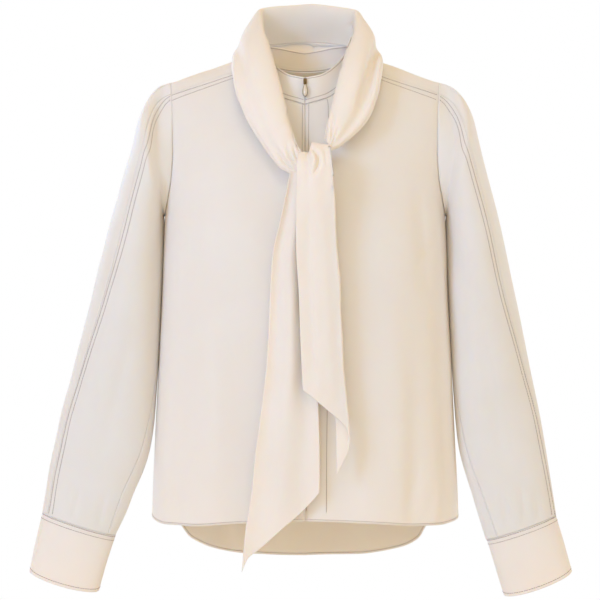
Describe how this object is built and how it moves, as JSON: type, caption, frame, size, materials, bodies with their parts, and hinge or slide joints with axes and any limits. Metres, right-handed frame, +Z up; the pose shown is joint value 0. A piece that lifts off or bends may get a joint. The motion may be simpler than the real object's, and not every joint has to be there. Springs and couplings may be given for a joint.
{
  "type": "tie-neck blouse",
  "caption": "Long-sleeved tie-neck blouse in pale silk crepe with a zipped stand collar, wide cuffs and a longer curved back tail.",
  "frame": {"origin": "base of the neck, midway between the shoulders, where the wearer holds the blouse up", "axes": "+Z up, front towards -Y, the wearer's left towards +X"},
  "size_m": [0.7215, 0.2609, 0.7994],
  "materials": {
    "silk": "matt crepe",
    "brass": "aged satin",
    "enamel": "gloss enamel"
  },
  "bodies": {
    "blouse": {"front_right": "silk", "front_left": "silk", "back": "silk", "collar": "silk", "sleeve_right_front": "silk", "sleeve_right_back": "silk", "sleeve_left_front": "silk", "sleeve_left_back": "silk", "cuff_right": "silk", "cuff_left": "silk", "tie_band_right": "silk", "tie_band_back": "silk", "tie_band_left": "silk", "tie_knot": "silk", "tie_tail_top": "silk", "tie_tail_under": "silk", "zip_tape": "silk", "zip_slider": "brass"},
    "pull_tab": {"zip_pull": "enamel"}
  },
  "joints": [
    {"name": "pull_tab_swing", "type": "hinge", "parent": "blouse", "child": "pull_tab", "pos_m": [0, -0.06284, -0.02036], "axis": [-1, 0, 0], "range_deg": [0, 150]}
  ]
}
